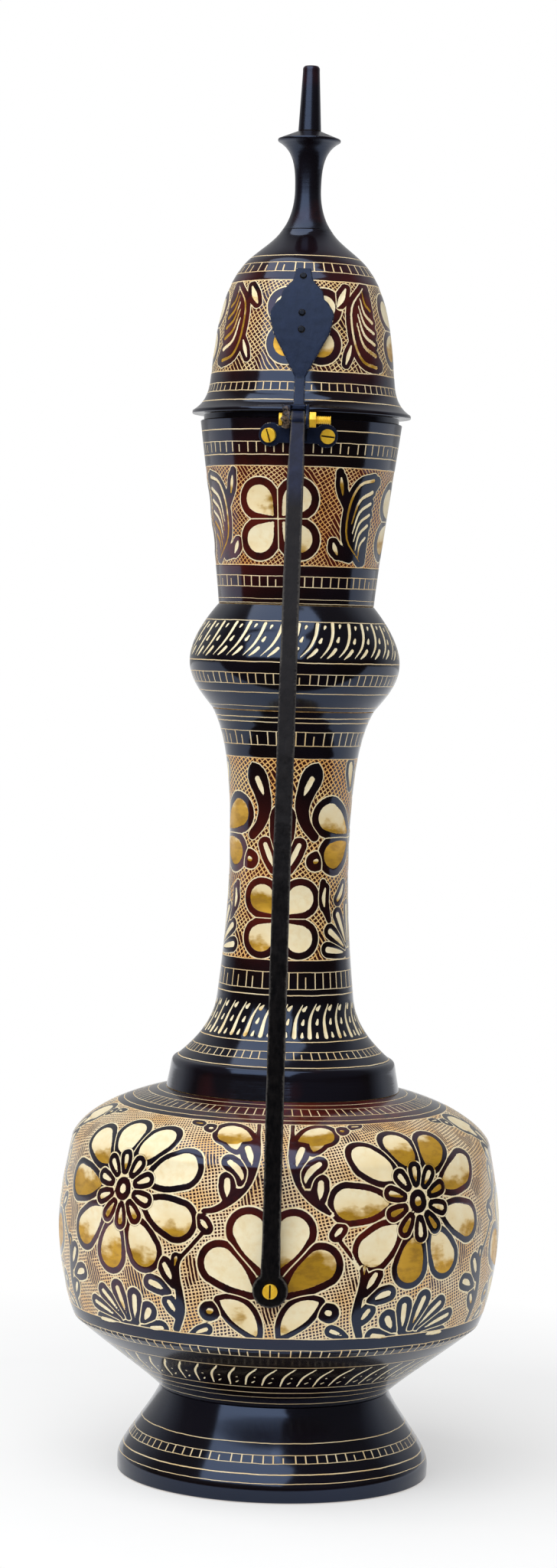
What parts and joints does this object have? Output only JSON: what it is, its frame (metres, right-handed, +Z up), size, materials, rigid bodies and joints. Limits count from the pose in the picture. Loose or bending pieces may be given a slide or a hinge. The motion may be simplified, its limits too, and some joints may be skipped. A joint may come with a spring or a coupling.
{
  "type": "surahi",
  "caption": "Tall engraved brass surahi: a footed, long-necked flask for pouring wine or water, with a flared mouth, a hinged domed lid with a finial, and a bowed bar handle.",
  "frame": {"origin": "on the flask's axis, in the plane that the foot's rim stands on", "axes": "+Z up along the flask's axis; -Y towards the handle and the lid's hinge; +X to the right of someone who looks at the handle"},
  "size_m": [0.1674, 0.178, 0.5313],
  "materials": {
    "lacquered_brass": "engraved, black lacquer in the ground, gloss",
    "bare_brass": "bright, lightly tarnished",
    "painted_brass": "black paint, half gloss, worn at the edges"
  },
  "bodies": {
    "flask": {"foot": "lacquered_brass", "belly_bowl": "lacquered_brass", "belly_barrel": "lacquered_brass", "collar_ring": "lacquered_brass", "neck_tube": "lacquered_brass", "knop": "lacquered_brass", "mouth_cup": "lacquered_brass", "handle": "painted_brass", "handle_bracket": "painted_brass", "bracket_screws": "bare_brass", "bracket_nuts": "bare_brass", "handle_screw": "bare_brass", "handle_boss": "bare_brass", "hinge_bolt": "bare_brass", "hinge_nut": "bare_brass"},
    "lid": {"lid_dome": "lacquered_brass", "lid_ring": "bare_brass", "finial_stem": "lacquered_brass", "finial_nut": "bare_brass", "finial_spike": "lacquered_brass", "hinge_leaf": "painted_brass", "leaf_rivets": "painted_brass"}
  },
  "joints": [
    {"name": "lid_hinge", "type": "hinge", "parent": "flask", "child": "lid", "pos_m": [0, -0.0452, 0.3966], "axis": [1, 0, 0], "range_deg": [0, 100]}
  ]
}
